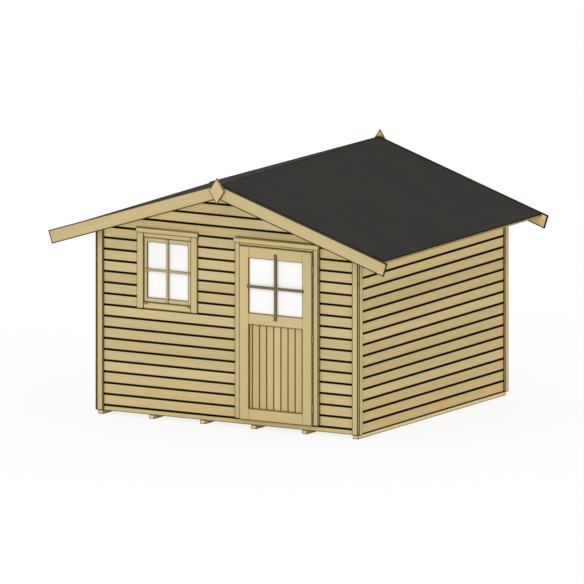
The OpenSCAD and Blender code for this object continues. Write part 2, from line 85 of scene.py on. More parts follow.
# How much shorter a batten is than the roof boards' run along the eave.
BATTEN_SHORT = 0.001
BATTEN_CHAMFER = 0.0015
# Half of the painted shade at the V joint between two planks, as it shows on a gable wall
# and on a side wall, and how far its middle on the gable walls lies below the sill's top,
# so a little below each joint, where the shade falls.
GABLE_JOINT_HALF = 0.0136
SIDE_JOINT_HALF = 0.0148
GABLE_JOINT_DROP = 0.0015
# Half of a joint inside the room, where the planks meet without a V.
ROOM_JOINT_HALF = 0.0035
# Board widths in the roof, the floor and the door, and the first joint in the door.
ROOF_BOARD = 0.114
FLOOR_BOARD = 0.113
DOOR_BOARD = 0.0824
DOOR_FIRST_JOINT = 0.044
# How far the grain jumps from board to board, and how much the boards' tones differ.
GRAIN_SHIFT = 37.0
BOARD_TONE = 0.34
# Width of the felt's sheets, and the distance of the first lap from the ridge.
FELT_SHEET = 0.86
FELT_FIRST_LAP = 0.06
# The camera's and the lamp's angles are in degrees. The floor lies a little below the
# bearers, and it glows by this share where the camera sees it.
VIEW_TURN = 30
VIEW_RISE = 10
VIEW_TARGET = (0.0, -0.1305, 1.17)
VIEW_DISTANCE = 12.0
KEY_ANGLE = 50
KEY_TILT = 72
KEY_TURN = 8
FLOOR_SIZE = 70.0
FLOOR_SINK = 0.0005
FLOOR_GLOW = 0.85


# ---------------------------------------------------------------- settings


class BarSettings(PropertyGroup):
    """Sizes of the glazing bars, the blocks under the sash and the eave battens."""

    door_width: FloatProperty(
        name="Door bar width", description="Width of the door's glazing bars",
        default=0.026, unit="LENGTH",
    )
    door_proud: FloatProperty(
        name="Door bar height", description="Height of the bars over the leaf's face",
        default=0.012, unit="LENGTH",
    )
    door_drop: FloatProperty(
        name="Door bar drop", description="Drop of the level bar below the pane's middle",
        default=0.010, unit="LENGTH",
    )
    door_lap: FloatProperty(
        name="Door bar lap", description="Run of the upright bar over the rails",
        default=0.055, unit="LENGTH",
    )
    door_side_lap: FloatProperty(
        name="Door bar side lap", description="Run of the level bar over the stiles",
        default=0.012, unit="LENGTH",
    )
    window_width: FloatProperty(
        name="Window bar width", description="Width of the window's glazing bars",
        default=0.024, unit="LENGTH",
    )
    window_proud: FloatProperty(
        name="Window bar height", description="Height of the bars over the sash's face",
        default=0.009, unit="LENGTH",
    )
    window_edge: FloatProperty(
        name="Window bar edge", description="Distance from the bars' ends to the sash's edge",
        default=0.004, unit="LENGTH",
    )
    block_width: FloatProperty(
        name="Block width", description="Width of a block under a corner of the sash",
        default=0.038, unit="LENGTH",
    )
    block_height: FloatProperty(
        name="Block height", description="Height of a block under a corner of the sash",
        default=0.016, unit="LENGTH",
    )
    board_depth: FloatProperty(
        name="Roof board", description="Thickness of the roof boards over an eave batten",
        default=0.018, unit="LENGTH",
    )
    batten_depth: FloatProperty(
        name="Batten depth", description="Depth of an eave batten below the roof boards",
        default=0.014, unit="LENGTH",
    )
    batten_width: FloatProperty(
        name="Batten width", description="Width of an eave batten along the slope",
        default=0.028, unit="LENGTH",
    )


class FinishSettings(PropertyGroup):
    """Colours of the finishes, and of the painted shade in creases, at edges and in joints."""

    pine_light: FloatVectorProperty(
        name="Pine, light", description="Pale part of the pine's grain",
        default=(0.66, 0.525, 0.277), subtype="COLOR",
    )
    pine_dark: FloatVectorProperty(
        name="Pine, dark", description="Dark part of the pine's grain",
        default=(0.53, 0.403, 0.190), subtype="COLOR",
    )
    knot: FloatVectorProperty(
        name="Knots", description="Colour of the knots", default=(0.20, 0.105, 0.035),
        subtype="COLOR",
    )
    # Painted shade in creases and painted dark edges. The same brown colours the joints of the
    # roof boards, the floor and the door's boards, the plank joints in the room and the seams in
    # the frames.
    crease_shade: FloatVectorProperty(
        name="Creases", description="Dust and stain where pieces meet",
        default=(0.110, 0.073, 0.012), subtype="COLOR",
    )
    # Painted shade in the V joints between wall planks, near black.
    joint: FloatVectorProperty(
        name="Plank joints", description="Depth of the joints between wall planks",
        default=(0.002, 0.0015, 0.001), subtype="COLOR",
    )
    bar: FloatVectorProperty(
        name="Door bars", description="Stain on the door's glazing bars",
        default=(0.19, 0.135, 0.052), subtype="COLOR",
    )
    window_bar: FloatVectorProperty(
        name="Window bars", description="Stain on the window's glazing bars",
        default=(0.46, 0.345, 0.160), subtype="COLOR",
    )
    block: FloatVectorProperty(
        name="Sash blocks", description="Stain on the blocks under the sash",
        default=(0.26, 0.195, 0.095), subtype="COLOR",
    )
    felt: FloatVectorProperty(
        name="Felt", description="Mineral felt on the roof", default=(0.0385, 0.0360, 0.0328),
        subtype="COLOR",
    )
    pane: FloatVectorProperty(
        name="Panes", description="Satin white of the panes", default=(0.99, 0.99, 0.99),
        subtype="COLOR",
    )
    zinc: FloatVectorProperty(
        name="Hinge zinc", description="Yellow zinc on the hinges",
        default=(0.52, 0.40, 0.19), subtype="COLOR",
    )


class StageSettings(PropertyGroup):
    """Floor, light and camera."""

    sky: FloatProperty(
        name="Sky light", description="Strength of the even light all round", default=0.99,
    )
    key: FloatProperty(name="Key light", description="Strength of the soft lamp", default=0.34)
    view_width: FloatProperty(
        name="View width", description="Width that the camera takes in", default=5.84,
        unit="LENGTH",
    )


# ---------------------------------------------------------------- shader parts


def put(tree: bpy.types.NodeTree, kind: str, inputs: dict | None = None, **settings) -> Node:
    """Adds a node with its settings, and its inputs as links or as plain values."""
    made = tree.nodes.new(kind)
    for name, value in settings.items():
        setattr(made, name, value)
    for key, value in (inputs or {}).items():
        if isinstance(value, NodeSocket):
            tree.links.new(value, made.inputs[key])
        else:
            made.inputs[key].default_value = value
    return made


def calc(tree: bpy.types.NodeTree, operation: str, *values) -> NodeSocket:
    """The result of one Math node."""
    return put(tree, "ShaderNodeMath", dict(enumerate(values)), operation=operation).outputs[0]


def step(
    tree: bpy.types.NodeTree, value: NodeSocket, low, high, to_low=0.0, to_high=1.0
) -> NodeSocket:
    """Smooth change from to_low to to_high as the value goes from low to high."""
    inputs = {
        "Value": value, "From Min": low, "From Max": high, "To Min": to_low, "To Max": to_high,
    }
    made = put(tree, "ShaderNodeMapRange", inputs, interpolation_type="SMOOTHSTEP")
    return made.outputs["Result"]


def blend(tree: bpy.types.NodeTree, mask, under, over) -> NodeSocket:
    """The colour under, with the colour over on top of it where the mask is 1."""
    made = put(tree, "ShaderNodeMix", data_type="RGBA")
    for name, given in zip(("Factor", "A", "B"), (mask, under, over), strict=True):
        socket = next(s for s in made.inputs if s.name == name and s.enabled)
        if isinstance(given, NodeSocket):
            tree.links.new(given, socket)
        else:
            socket.default_value = (*given, 1.0) if name != "Factor" else given
    return next(s for s in made.outputs if s.enabled)


def paler(tree: bpy.types.NodeTree, mask, colour, gain: float) -> NodeSocket:
    """The colour, brighter by the gain where the mask is 1."""
    bright = put(
        tree, "ShaderNodeVectorMath", {0: colour, 1: (gain, gain, gain)},
        operation="MULTIPLY",
    )
    return blend(tree, mask, colour, bright.outputs[0])


def new_group(name: str, inputs: dict, outputs: dict):
    """An empty shader group with its sockets, given as name to (kind, default)."""
    tree = bpy.data.node_groups.new(name, "ShaderNodeTree")
    for socket, (kind, default) in inputs.items():
        made = tree.interface.new_socket(socket, in_out="INPUT", socket_type=kind)
        made.default_value = default
    for socket, kind in outputs.items():
        tree.interface.new_socket(socket, in_out="OUTPUT", socket_type=kind)
    return tree, tree.nodes.new("NodeGroupInput"), tree.nodes.new("NodeGroupOutput")


def grain_group() -> bpy.types.NodeTree:
    """Softwood grain. Along has x with the fibres and y and z across them, in metres."""
    tree, given, out = new_group(
        "wood_grain",
        {"Along": ("NodeSocketVector", (0, 0, 0)), "Knots": ("NodeSocketFloat", 0.25)},
        {"Streaks": "NodeSocketFloat", "Fibres": "NodeSocketFloat", "Knot": "NodeSocketFloat"},
    )
    along = given.outputs["Along"]

    def stretched(x, y):
        return put(
            tree, "ShaderNodeVectorMath", {0: along, 1: (x, y, y)}, operation="MULTIPLY"
        ).outputs[0]

    wide = put(
        tree, "ShaderNodeTexNoise",
        {"Vector": stretched(0.8, 17), "Scale": 1.0, "Detail": 3.0, "Distortion": 0.4},
    ).outputs[0]
    rings = put(
        tree, "ShaderNodeTexWave",
        {
            "Vector": stretched(0.55, 11), "Scale": 1.6, "Distortion": 7.0, "Detail": 2.0,
            "Detail Scale": 0.7,
        },
        bands_direction="Y",
    ).outputs["Fac"]
    tree.links.new(
        calc(tree, "ADD", calc(tree, "MULTIPLY", wide, 0.65), calc(tree, "MULTIPLY", rings, 0.35)),
        out.inputs["Streaks"],
    )
    fibres = put(
        tree, "ShaderNodeTexNoise",
        {"Vector": stretched(4, 260), "Scale": 1.0, "Detail": 2.0, "Roughness": 0.6},
    ).outputs[0]
    tree.links.new(fibres, out.inputs["Fibres"])
    spots = put(tree, "ShaderNodeTexVoronoi", {"Vector": stretched(3.2, 6.0), "Scale": 1.0})
    dark = step(tree, spots.outputs["Distance"], 0.10, 0.035, 0.0, 1.0)
    chance = put(tree, "ShaderNodeSeparateColor", {0: spots.outputs["Color"]}).outputs[0]
    kept = calc(tree, "LESS_THAN", chance, given.outputs["Knots"])
    tree.links.new(calc(tree, "MULTIPLY", dark, kept), out.inputs["Knot"])
    return tree


def boards_group() -> bpy.types.NodeTree:
    """A row of boards: a tone of its own for each, and the joints between them."""
    tree, given, out = new_group(
        "board_row",
        {
            "Across": ("NodeSocketFloat", 0.0), "Board": ("NodeSocketFloat", 0.1),
            "First": ("NodeSocketFloat", 0.0), "Joint Half": ("NodeSocketFloat", 0.006),
        },
        {"Tone": "NodeSocketFloat", "Joint": "NodeSocketFloat"},
    )
    board = given.outputs["Board"]
    reached = calc(tree, "SUBTRACT", given.outputs["Across"], given.outputs["First"])
    at = calc(tree, "DIVIDE", reached, board)
    number = calc(tree, "FLOOR", at)
    tone = put(
        tree, "ShaderNodeTexWhiteNoise", {"W": calc(tree, "ADD", number, 0.5)},
        noise_dimensions="1D",
    ).outputs["Value"]
    tree.links.new(tone, out.inputs["Tone"])
    part = calc(tree, "SUBTRACT", at, number)
    near = calc(
        tree, "MULTIPLY", calc(tree, "MINIMUM", part, calc(tree, "SUBTRACT", 1.0, part)), board
    )
    half = given.outputs["Joint Half"]
    tree.links.new(
        step(tree, near, calc(tree, "MULTIPLY", half, 0.72), half, 1.0, 0.0), out.inputs["Joint"]
    )
    return tree


def edges_group() -> bpy.types.NodeTree:
    """Masks from occlusion for painted shade: creases where surfaces meet, and the piece's
    own outer edges, painted dark as outlines and as shade on narrow faces.
    """
    tree, given, out = new_group(
        "edge_lines",
        {"Crease Reach": ("NodeSocketFloat", 0.011), "Edge Reach": ("NodeSocketFloat", 0.014)},
        {"Crease": "NodeSocketFloat", "Edge": "NodeSocketFloat"},
    )
    for name, reach, inside in (("Crease", "Crease Reach", False), ("Edge", "Edge Reach", True)):
        open_air = put(
            tree, "ShaderNodeAmbientOcclusion", {"Distance": given.outputs[reach]},
            samples=6, inside=inside, only_local=inside,
        ).outputs["AO"]
        # A surface with this much open air gets no painted shade, and with less a full one.
        tree.links.new(step(tree, open_air, 0.98, 0.76), out.inputs[name])
    return tree


GROUPS = {}


def group(tree: bpy.types.NodeTree, name: str, inputs: dict) -> Node:
    """Places a shader group, which is built the first time that it is asked for."""
    makers = {"wood_grain": grain_group, "board_row": boards_group, "edge_lines": edges_group}
    if name not in GROUPS:
        GROUPS[name] = makers[name]()
    return put(tree, "ShaderNodeGroup", inputs, node_tree=GROUPS[name])


def new_material(name: str):
    """A material with a Principled shader, and the object coordinates as x, y and z."""
    made = bpy.data.materials.new(name)
    made.use_nodes = True
    tree = made.node_tree
    shader = tree.nodes["Principled BSDF"]
    where = put(tree, "ShaderNodeTexCoord").outputs["Object"]
    split = put(tree, "ShaderNodeSeparateXYZ", {0: where})
    return made, tree, shader, split.outputs


def position(tree: bpy.types.NodeTree, xyz) -> NodeSocket:
    """The object coordinates as a vector again."""
    return put(tree, "ShaderNodeCombineXYZ", {0: xyz[0], 1: xyz[1], 2: xyz[2]}).outputs[0]


def seen_directly(tree: bpy.types.NodeTree) -> NodeSocket:
    """A mask that is 1 for the camera, for reflections and through glass."""
    path = put(tree, "ShaderNodeLightPath").outputs
    shiny = calc(tree, "ADD", path["Is Glossy Ray"], path["Is Transmission Ray"])
    return calc(tree, "MINIMUM", 1.0, calc(tree, "ADD", path["Is Camera Ray"], shiny))


def along_grain(tree: bpy.types.NodeTree, xyz, run: str, rails=None) -> NodeSocket:
    """Coordinates with x along the fibres, which run on an axis, down the roof's slope,
    or upright in the stiles and level in the rails round an opening."""
    x, y, z = xyz[0], xyz[1], xyz[2]
    if run == "slope":
        tilt = roof_tilt()
        x = calc(tree, "ABSOLUTE", x)
        down = calc(
            tree, "SUBTRACT", calc(tree, "MULTIPLY", x, math.cos(tilt)),
            calc(tree, "MULTIPLY", z, math.sin(tilt)),
        )
        up = calc(
            tree, "ADD", calc(tree, "MULTIPLY", x, math.sin(tilt)),
            calc(tree, "MULTIPLY", z, math.cos(tilt)),
        )
        order = (down, up, y)
    else:
        order = {"x": (x, z, y), "y": (y, z, x), "z": (z, x, y), "frame": (z, x, y)}[run]
    upright = put(tree, "ShaderNodeCombineXYZ", dict(enumerate(order))).outputs[0]
    if run != "frame":
        return upright
    level = put(tree, "ShaderNodeCombineXYZ", {0: x, 1: z, 2: y}).outputs[0]
    inside = calc(
        tree, "MULTIPLY", calc(tree, "GREATER_THAN", x, rails[0]),
        calc(tree, "LESS_THAN", x, rails[1]),
    )
    made = put(tree, "ShaderNodeMix", data_type="VECTOR")
    sockets = [s for s in made.inputs if s.enabled]
    for socket, source in zip(sockets, (inside, upright, level), strict=True):
        tree.links.new(source, socket)
    return next(s for s in made.outputs if s.enabled)


def roof_tilt() -> float:
    """Angle of the roof, from the tops of the ridge purlin and of a side purlin."""
    ridge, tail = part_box("ridge_purlin")[1].z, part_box("purlin_right")
    middle = (tail[0].x + tail[1].x) / 2
    half = (tail[1].x - tail[0].x) / 2
    return math.atan((ridge - tail[1].z) / (middle - half))


def pine(
    name: str, run: str, boards: tuple | None = None, rails: tuple | None = None,
    tint: tuple = (1.0, 1.0, 1.0), knots: float = 0.22, crease_shade: float = 0.92,
    edge: float = 0.85, reach: float = 0.013, ink: float = 1.0, fold: float = 0.011,
    room: tuple | None = None, painted_light_under_roof: tuple | None = None, painted_light_near_ground: tuple | None = None,
) -> bpy.types.Material:
    """Clear-stained pine. boards is (axis, width, first, half joint, joint colour) where
    the piece is a row of boards, with the joint colour painted as shade in the joints, and
    rails holds the X range of the rails in a frame.
    room is (axis, middle, half) of the room, where the joints are narrow and brown.
    reach and fold are the widths of the painted dark edges and of the painted shade in the
    creases, and a low ink makes the edges darker. painted_light_under_roof is (near, far,
    gain) for painted light that lifts the shade under the roof's overhang, near and far
    below the slope, and painted_light_near_ground is (low, high, gain) for painted light
    that lifts the shade over the ground."""
    look = bpy.context.scene.house_finish
    made, tree, shader, xyz = new_material(name)
    along = along_grain(tree, xyz, run, rails)
    tone = joint = None
    if boards:
        axis, width, first, half, joint_colour = boards
        across = xyz["XYZ".index(axis)]
        if room:
            off = calc(tree, "SUBTRACT", xyz["XYZ".index(room[0])], room[1])
            outside = calc(tree, "GREATER_THAN", calc(tree, "ABSOLUTE", off), room[2])
            joint_colour = blend(tree, outside, look.crease_shade, joint_colour)
            half = step(tree, outside, 0.0, 1.0, ROOM_JOINT_HALF, half)
        row = group(
            tree, "board_row",
            {"Across": across, "Board": width, "First": first, "Joint Half": half},
        )
        tone, joint = row.outputs["Tone"], row.outputs["Joint"]
        shift = put(
            tree, "ShaderNodeCombineXYZ", {0: calc(tree, "MULTIPLY", tone, GRAIN_SHIFT)}
        ).outputs[0]
        along = put(
            tree, "ShaderNodeVectorMath", {0: along, 1: shift}, operation="ADD"
        ).outputs[0]
    grain = group(tree, "wood_grain", {"Along": along, "Knots": knots})
    mix = calc(tree, "MULTIPLY", grain.outputs["Streaks"], 0.75)
    mix = calc(tree, "ADD", mix, calc(tree, "MULTIPLY", grain.outputs["Fibres"], 0.25))
    if tone:
        tone = calc(tree, "MULTIPLY", calc(tree, "SUBTRACT", tone, 0.5), BOARD_TONE)
        mix = calc(tree, "ADD", mix, tone)
    colour = blend(
        tree, step(tree, mix, 0.1, 0.95), Vector(look.pine_light) * Vector(tint),
        Vector(look.pine_dark) * Vector(tint),
    )
    colour = blend(tree, calc(tree, "MULTIPLY", grain.outputs["Knot"], 0.6), colour, look.knot)
    # Painted light: paler wood under the roof's overhang, lifting the shade that falls there.
    if painted_light_under_roof:
        near, far, gain = painted_light_under_roof
        fall = calc(tree, "MULTIPLY", calc(tree, "ABSOLUTE", xyz[0]), math.tan(roof_tilt()))
        slope = calc(tree, "SUBTRACT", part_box("ridge_purlin")[1].z, fall)
        lit_under_roof = step(tree, calc(tree, "SUBTRACT", slope, xyz[2]), near, far, 1.0, 0.0)
        colour = paler(tree, lit_under_roof, colour, gain)
    # Painted light: paler wood near the ground, lifting the shade over the floor.
    if painted_light_near_ground:
        low, high, gain = painted_light_near_ground
        colour = paler(tree, step(tree, xyz[2], low, high, 1.0, 0.0), colour, gain)
    if rails:
        for side in rails:
            off = calc(tree, "ABSOLUTE", calc(tree, "SUBTRACT", xyz[0], side))
            seam = step(tree, off, 0.0016, 0.0042, 0.62, 0.0)
            colour = blend(tree, seam, colour, look.crease_shade)
    # Painted dark edges, as outlines and as shade on narrow faces, then painted shade in the
    # creases.
    lines = group(tree, "edge_lines", {"Crease Reach": fold, "Edge Reach": reach})
    colour = blend(
        tree, calc(tree, "MULTIPLY", lines.outputs["Edge"], edge), colour,
        Vector(look.crease_shade) * ink,
    )
    colour = blend(
        tree, calc(tree, "MULTIPLY", lines.outputs["Crease"], crease_shade), colour, look.crease_shade
    )
    # The joints' colour, painted shade in the joints between boards.
    if joint:
        colour = blend(tree, joint, colour, joint_colour)
    tree.links.new(colour, shader.inputs["Base Color"])
    rough = step(tree, grain.outputs["Streaks"], 0.0, 1.0, 0.58, 0.76)
    if joint:
        rough = calc(tree, "MAXIMUM", rough, joint)
    tree.links.new(rough, shader.inputs["Roughness"])
    shader.inputs["Specular IOR Level"].default_value = 0.12
    relief = calc(
        tree, "ADD", calc(tree, "MULTIPLY", grain.outputs["Fibres"], 0.35),
        calc(tree, "MULTIPLY", grain.outputs["Streaks"], 0.65),
    )
    bump = put(
        tree, "ShaderNodeBump", {"Height": relief, "Strength": 0.25, "Distance": 0.0006}
    )
    tree.links.new(bump.outputs[0], shader.inputs["Normal"])
    return made


def mineral_felt() -> bpy.types.Material:
    """Felt with mineral granules, a little lighter where water ran, with faint laps."""
    look = bpy.context.scene.house_finish
    made, tree, shader, xyz = new_material("mineral_felt")
    where = position(tree, xyz)
    granule = put(tree, "ShaderNodeTexVoronoi", {"Vector": where, "Scale": 420.0})
    speck = put(tree, "ShaderNodeSeparateColor", {0: granule.outputs["Color"]}).outputs[0]
    patch = put(
        tree, "ShaderNodeTexNoise", {"Vector": where, "Scale": 2.4, "Detail": 4.0}
    ).outputs[0]
    run = put(tree, "ShaderNodeCombineXYZ", {0: xyz[0], 1: calc(tree, "MULTIPLY", xyz[1], 9.0)})
    stain = put(
        tree, "ShaderNodeTexNoise", {"Vector": run.outputs[0], "Scale": 1.3, "Detail": 3.0}
    ).outputs[0]
    off = calc(tree, "ABSOLUTE", xyz[0])
    sheet = group(
        tree, "board_row",
        {"Across": off, "Board": FELT_SHEET, "First": FELT_FIRST_LAP, "Joint Half": 0.004},
    )
    felt = Vector(look.felt)
    mix = calc(
        tree, "ADD", calc(tree, "MULTIPLY", speck, 0.35),
        calc(tree, "ADD", calc(tree, "MULTIPLY", patch, 0.35), calc(tree, "MULTIPLY", stain, 0.3)),
    )
    colour = blend(tree, step(tree, mix, 0.15, 0.85), felt * 0.78, felt * 1.28)
    lap = calc(tree, "MULTIPLY", sheet.outputs["Joint"], 0.35)
    colour = blend(tree, lap, colour, felt * 0.4)
    # Dark bands: at the ridge, painted shade in the creases and along the front verge beside the
    # bargeboards, and on both eaves.
    fold = step(tree, off, 0.006, 0.014, 0.75, 0.0)
    lines = group(tree, "edge_lines", {"Crease Reach": 0.02, "Edge Reach": 0.001})
    verge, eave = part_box("roof_felt_left")[0].y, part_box("roof_felt_right")[1].x
    for band in (
        calc(tree, "MULTIPLY", lines.outputs["Crease"], 0.8),
        step(tree, xyz[1], verge + 0.045, verge + 0.06, 0.8, 0.0),
        step(tree, off, eave - 0.012, eave - 0.006, 0.0, 0.8),
    ):
        fold = calc(tree, "MAXIMUM", fold, band)
    colour = blend(tree, fold, colour, felt * 0.2)
    tree.links.new(colour, shader.inputs["Base Color"])
    tree.links.new(step(tree, speck, 0.0, 1.0, 0.86, 0.98), shader.inputs["Roughness"])
    shader.inputs["Specular IOR Level"].default_value = 0.02
    bump = put(
        tree, "ShaderNodeBump",
        {"Height": granule.outputs["Distance"], "Strength": 0.35, "Distance": 0.001},
    )
    tree.links.new(bump.outputs[0], shader.inputs["Normal"])
    return made


def satin_pane() -> bpy.types.Material:
    """Satin white glass, faintly uneven, with painted shade round its rim where frames and bars
    meet it.
    """
    look = bpy.context.scene.house_finish
    made, tree, shader, xyz = new_material("satin_pane")
    where = position(tree, xyz)
    haze = put(
        tree, "ShaderNodeTexNoise", {"Vector": where, "Scale": 6.0, "Detail": 3.0}
    ).outputs[0]
    pane = Vector(look.pane)
    lines = group(tree, "edge_lines", {"Crease Reach": 0.0045, "Edge Reach": 0.001})
    # Painted shade along the pane's rim, in the creases by frames and bars.
    rim_shade = calc(tree, "MULTIPLY", lines.outputs["Crease"], 0.85)
    tree.links.new(
        blend(tree, rim_shade, blend(tree, haze, pane, pane * 0.985), look.crease_shade),
        shader.inputs["Base Color"],
    )
    tree.links.new(step(tree, haze, 0.2, 0.8, 0.10, 0.22), shader.inputs["Roughness"])
    shader.inputs["Transmission Weight"].default_value = 0.03
    shader.inputs["Coat Weight"].default_value = 0.3
    shader.inputs["Coat Roughness"].default_value = 0.03
    return made


def hinge_zinc() -> bpy.types.Material:
    """Yellow zinc on steel, with painted shade in its creases."""
    look = bpy.context.scene.house_finish
    made, tree, shader, xyz = new_material("hinge_zinc")
    where = position(tree, xyz)
    mottle = put(
        tree, "ShaderNodeTexNoise", {"Vector": where, "Scale": 160.0, "Detail": 3.0}
    ).outputs[0]
    lines = group(tree, "edge_lines", {"Crease Reach": 0.003, "Edge Reach": 0.0012})
    zinc = Vector(look.zinc)
    colour = blend(tree, mottle, zinc * 0.88, zinc * 1.12)
    # Painted shade in the hinge's creases.
    crease_shade_mask = calc(tree, "MULTIPLY", lines.outputs["Crease"], 0.6)
    tree.links.new(blend(tree, crease_shade_mask, colour, zinc * 0.3), shader.inputs["Base Color"])
    shader.inputs["Metallic"].default_value = 0.9
    tree.links.new(step(tree, mottle, 0.2, 0.8, 0.34, 0.5), shader.inputs["Roughness"])
    return made


def paint(names, material: bpy.types.Material) -> None:
    """Gives CAD nodes their finish."""
    for name in names:
        data = NODES[name].data
        data.materials.clear()
        data.materials.append(material)


# ---------------------------------------------------------------- shapes


def edges_at(verts) -> list:
    """The edges at some vertices, each once and in the same order on every run."""
    return list(dict.fromkeys(edge for vert in verts for edge in vert.link_edges))


def bar(bm: bmesh.types.BMesh, low: Vector, high: Vector, chamfer: float) -> None:
    """A bar between two corners, with its front edges chamfered."""
    made = bmesh.ops.create_cube(
        bm, size=1.0,
        matrix=Matrix.Translation((low + high) / 2) @ Matrix.Diagonal((*(high - low), 1.0)),
    )
    front = [
        edge
        for edge in edges_at(made["verts"])
        if all(abs(v.co.y - low.y) < 1e-6 for v in edge.verts)
    ]
    bmesh.ops.bevel(
        bm, geom=front, offset=chamfer, affect="EDGES", segments=2, profile=0.5, material=-1
    )


def piece(name: str, bm: bmesh.types.BMesh, material, body: str) -> None:
    """Turns a bmesh into a piece that rides on a body and takes the given finish."""
    bmesh.ops.recalc_face_normals(bm, faces=bm.faces)
    data = bpy.data.meshes.new(name)
    bm.to_mesh(data)
    bm.free()
    data.materials.append(material)
    made = bpy.data.objects.new(name, data)
    bpy.context.scene.collection.objects.link(made)
    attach(made, body)


def opening(node: str) -> tuple:
    """The low and the high corner of the opening that a pane stands in."""
    low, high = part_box(node)
    seat = Vector((PANE_SEAT, 0.0, PANE_SEAT))
    return low + seat, high - seat


def cross_of_bars(face_y, width, proud, ends_x, ends_z, middle, pane) -> bmesh.types.BMesh:
    """An upright and a level bar that cross on a frame's face, with narrower bars behind
    them that reach in to the pane between the rails and the stiles. The level bar lies a
    little lower than the upright one, which runs on unbroken."""
    bm = bmesh.new()
    mid_x, mid_z = middle
    half, chamfer = width / 2, width * BAR_CHAMFER
    bar(
        bm, Vector((mid_x - half, face_y - proud, ends_z[0])),
        Vector((mid_x + half, face_y, ends_z[1])), chamfer,
    )
    for low_x, high_x in ((ends_x[0], mid_x - half), (mid_x + half, ends_x[1])):
        bar(
            bm, Vector((low_x, face_y - proud * LEVEL_BAR_HEIGHT, mid_z - half)),
            Vector((high_x, face_y, mid_z + half)), chamfer,
        )
    low, high = opening(pane)
    half, back = width * BACK_BAR_HALF, low.y - PANE_GAP
    bar(
        bm, Vector((mid_x - half, face_y, low.z)), Vector((mid_x + half, back, high.z)),
        BACK_CHAMFER,
    )
    for low_x, high_x in ((low.x, mid_x - half), (mid_x + half, high.x)):
        bar(
            bm, Vector((low_x, face_y, mid_z - half)), Vector((high_x, back, mid_z + half)),
            BACK_CHAMFER,
        )
    return bm


# ---------------------------------------------------------------- operators


class HOUSE_OT_wall_finish(Operator):
    """Stain the plank walls and the corner boards"""

    bl_idname = "house.wall_finish"
    bl_label = "Wall finish"

    def execute(self, context):
        look = context.scene.house_finish
        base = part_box("left_wall")[0].z
        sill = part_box("front_sill_plank")[1].z
        plank = 2 * (sill - base)
        joint = tuple(look.joint)
        front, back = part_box("front_gable"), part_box("back_gable")
        inner = (back[1].y + back[0].y - front[0].y - front[1].y) / 4
        room = ("Y", (back[1].y + front[0].y) / 2, inner)
        # The gable walls get painted light under the roof's overhang and near the ground, lifting
        # the shade there.
        paint(
            GABLE_WALLS,
            pine(
                "gable_wall_pine", "x",
                ("Z", plank, sill - GABLE_JOINT_DROP, GABLE_JOINT_HALF, joint),
                tint=(0.975, 0.975, 0.985), fold=0.015, room=room,
                painted_light_under_roof=(0.10, 0.32, 1.55), painted_light_near_ground=(0.06, 0.66, 1.12),
            ),
        )
        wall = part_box("right_wall")
        room = ("X", 0.0, (wall[0].x + wall[1].x) / 2)
        # The side walls get the same painted light, and a tint that darkens them a little, painted
        # shade on the house's sides.
        paint(
            SIDE_WALLS,
            pine(
                "side_wall_pine", "y", ("Z", plank, base, SIDE_JOINT_HALF, joint),
                tint=(0.97, 0.945, 0.885), fold=0.015, room=room,
                painted_light_under_roof=(0.26, 0.52, 1.25), painted_light_near_ground=(0.04, 0.5, 1.13),
            ),
        )
        # Each side's corner boards get their own strength and darkness of painted dark edges,
        # which paint outlines and the shade on their narrow faces.
        for side, edge, reach, ink in (
            ("front", 1.0, 0.012, 0.3), ("back", 1.0, 0.012, 0.3),
            ("left", 1.8, 0.016, 0.5), ("right", 1.6, 0.010, 0.2),
        ):
            paint(
                (f"corner_boards_{side}",),
                pine(f"corner_{side}_pine", "z", edge=edge, reach=reach, ink=ink),
            )
        return {"FINISHED"}


class HOUSE_OT_roof_finish(Operator):
    """Finish the felt, the boards under it, the purlins, bargeboards and finials"""

    bl_idname = "house.roof_finish"
    bl_label = "Roof finish"

    def execute(self, context):
        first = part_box("roof_boards_left")[0].y
        brown = tuple(context.scene.house_finish.crease_shade)
        paint(FELT, mineral_felt())
        # The roof boards' darker tint is painted shade, for their end faces and undersides that
        # face down.
        paint(
            ROOF_BOARDS,
            pine(
                "roof_board_pine", "slope", ("Y", ROOF_BOARD, first, 0.004, brown),
                tint=(0.78, 0.76, 0.70), edge=0.8, reach=0.005,
            ),
        )
        paint(PURLINS, pine("purlin_pine", "y"))
        # The back bargeboards take a paler copy of the pine, painted light on their inner faces
        # where the roof shades them.
        for names, finish, tone, edge in (
            (FRONT_BARGES, "bargeboard_pine", 0.94, 1.0),
            (BACK_BARGES, "bargeboard_back_painted_light_pine", 1.3, 1.3),
        ):
            paint(
                names,
                pine(
                    finish, "slope", tint=(tone, tone, tone), crease_shade=0.5, edge=edge,
                    reach=0.0175, ink=0.08,
                ),
            )
        paint(
            ("finial_front", "finial_back"),
            pine("finial_pine", "z", edge=1.4, reach=0.009, ink=0.35),
        )
        return {"FINISHED"}


class HOUSE_OT_base_finish(Operator):
    """Finish the bearers and the floor"""

    bl_idname = "house.base_finish"
    bl_label = "Base finish"

    def execute(self, context):
        brown = tuple(context.scene.house_finish.crease_shade)
        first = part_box("floor")[0].y
        # The floor's paler tint is painted light, lifting the shade under the house.
        paint(
            ("floor",),
            pine(
                "floor_pine", "x", ("Y", FLOOR_BOARD, first, 0.002, brown),
                tint=(1.08, 1.08, 1.08), edge=0.55, reach=0.007,
            ),
        )
        # The bearers' much paler tint is painted light, lifting the shade under the house.
        paint(
            ("bearers",),
            pine(
                "bearer_pine", "y", tint=(1.36, 1.36, 1.36), knots=0.35, crease_shade=0.25,
                edge=1.0, reach=0.010, ink=0.6,
            ),
        )
        return {"FINISHED"}


